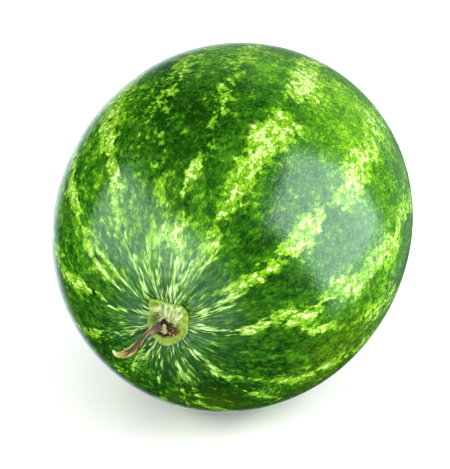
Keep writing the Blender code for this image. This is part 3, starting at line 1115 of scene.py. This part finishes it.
def add_floor(settings):
    """A round pale floor: rings of points at the ground plane, radius growing outwards."""
    columns = 96
    radii = np.linspace(0.0, 1.0, 24)[1:, None] ** 2 * settings.floor_radius
    bearing = np.linspace(0.0, math.tau, columns, endpoint=False)[None, :]
    flat = np.stack([radii * np.cos(bearing), radii * np.sin(bearing),
                     0.0 * radii * bearing], axis=-1)
    points = np.concatenate([flat.reshape(-1, 3), [[0.0, 0.0, 0.0]]])
    rows = len(radii)
    row, column = np.meshgrid(np.arange(rows - 1), np.arange(columns), indexing="ij")
    following = (column + 1) % columns
    quads = np.stack([row * columns + column, (row + 1) * columns + column,
                      (row + 1) * columns + following, row * columns + following], axis=-1)
    index = np.arange(columns)
    fan = np.stack([np.full(columns, rows * columns), index, (index + 1) % columns], axis=-1)
    mesh = bpy.data.meshes.new("floor")
    mesh.from_pydata(points.tolist(), [], quads.reshape(-1, 4).tolist() + fan.tolist())
    floor = bpy.data.objects.new("floor", mesh)
    floor.location.z = -FLOOR_DROP
    bpy.context.scene.collection.objects.link(floor)
    mesh.materials.append(floor_material())
    floor.visible_glossy = False


def floor_material():
    paint = Paint("pale_floor", 0.9, specular=0.1)
    place = paint.node("TexCoord", {}, output="Object")
    mottle = paint.noise(place, 0.8, 2.0)
    paint.set(base_color=paint.mix(mottle, *FLOOR_GREYS))
    return paint.material


def light_world():
    """Pale to the eye, dim as a light, with a few soft glows behind the fruit.

    To the eye it is as pale grey as the floor's far edge at the horizon, and white higher up.
    Seen by the fruit, its strength is a dim base plus soft glows, each of which follows the
    cosine of the angle to its direction.
    """
    world = bpy.data.worlds.new("studio")
    bpy.context.scene.world = world
    world.use_nodes = True
    paint = Paint.over(world.node_tree)
    place = paint.node("TexCoord", {}, output="Generated")
    glow = SKY_GLOW
    for azimuth, elevation, spread, level in WORLD_GLOWS:
        towards = direction(math.radians(azimuth), math.radians(elevation))
        near = paint.node("VectorMath", {"operation": "DOT_PRODUCT"}, (place, towards), "Value")
        glow = glow + near.step(math.cos(math.radians(spread)), 1.0) * level
    eye = paint.node("LightPath", {}, output="Is Camera Ray")
    background = world.node_tree.nodes["Background"]
    height = paint.node("SeparateXYZ", {}, (place,), "Z")
    backdrop = paint.mix(height.step(-0.03, 0.12), HORIZON_GREY, ZENITH_WHITE)
    paint.put(background.inputs["Color"], paint.mix(eye, SKY_TINT, backdrop))
    paint.put(background.inputs["Strength"], glow + (1.0 - glow) * eye)


def build_studio(settings):
    add_camera(settings)
    add_floor(settings)
    light_world()
    for softbox in FILLS:
        add_softbox(*softbox, shines=False)
    add_overhead_fill()
    for softbox in SHEENS:
        add_softbox(*softbox, shines=True)
    bpy.context.scene.view_settings.view_transform = "Standard"


# ---------------------------------------------------------------- add-on


class MELON_OT_rind(bpy.types.Operator):
    """Build the striped rind with its hollow, dimple and resting spot"""

    bl_idname = "melon.build_rind"
    bl_label = "Build rind"

    def execute(self, context):
        build_rind(context.scene.melon_rind)
        return {"FINISHED"}


class MELON_OT_pad(bpy.types.Operator):
    """Build the pale pad with its corky scar"""

    bl_idname = "melon.build_pad"
    bl_label = "Build pad"

    def execute(self, context):
        build_pad(context.scene.melon_pad)
        return {"FINISHED"}


class MELON_OT_stalk(bpy.types.Operator):
    """Build the dried, twisted stalk with its hooked tip"""

    bl_idname = "melon.build_stalk"
    bl_label = "Build stalk"

    def execute(self, context):
        build_stalk(context.scene.melon_stalk)
        return {"FINISHED"}


class MELON_OT_studio(bpy.types.Operator):
    """Set up the floor, the lights and the camera"""

    bl_idname = "melon.build_studio"
    bl_label = "Build studio"

    def execute(self, context):
        build_studio(context.scene.melon_studio)
        return {"FINISHED"}


OPERATORS = (MELON_OT_rind, MELON_OT_pad, MELON_OT_stalk, MELON_OT_studio)


class MELON_PT_panel(bpy.types.Panel):
    """Lists the builders and their sizes and colours"""

    bl_idname = "MELON_PT_panel"
    bl_label = "Watermelon"
    bl_space_type = "VIEW_3D"
    bl_region_type = "UI"
    bl_category = "Watermelon"

    def draw(self, context):
        for operator, group in zip(OPERATORS, SETTINGS):
            box = self.layout.box()
            box.operator(operator.bl_idname)
            settings = getattr(context.scene, group)
            for title in SETTINGS[group].__annotations__:
                box.prop(settings, title)


def register():
    for group in SETTINGS.values():
        bpy.utils.register_class(group)
    for title, group in SETTINGS.items():
        setattr(bpy.types.Scene, title, PointerProperty(type=group))
    for operator in OPERATORS:
        bpy.utils.register_class(operator)
    bpy.utils.register_class(MELON_PT_panel)


def unregister():
    bpy.utils.unregister_class(MELON_PT_panel)
    for operator in reversed(OPERATORS):
        bpy.utils.unregister_class(operator)
    for title, group in SETTINGS.items():
        delattr(bpy.types.Scene, title)
        bpy.utils.unregister_class(group)


def main():
    register()
    bpy.ops.melon.build_rind()
    bpy.ops.melon.build_pad()
    bpy.ops.melon.build_stalk()
    bpy.ops.melon.build_studio()


if __name__ == "__main__":
    main()
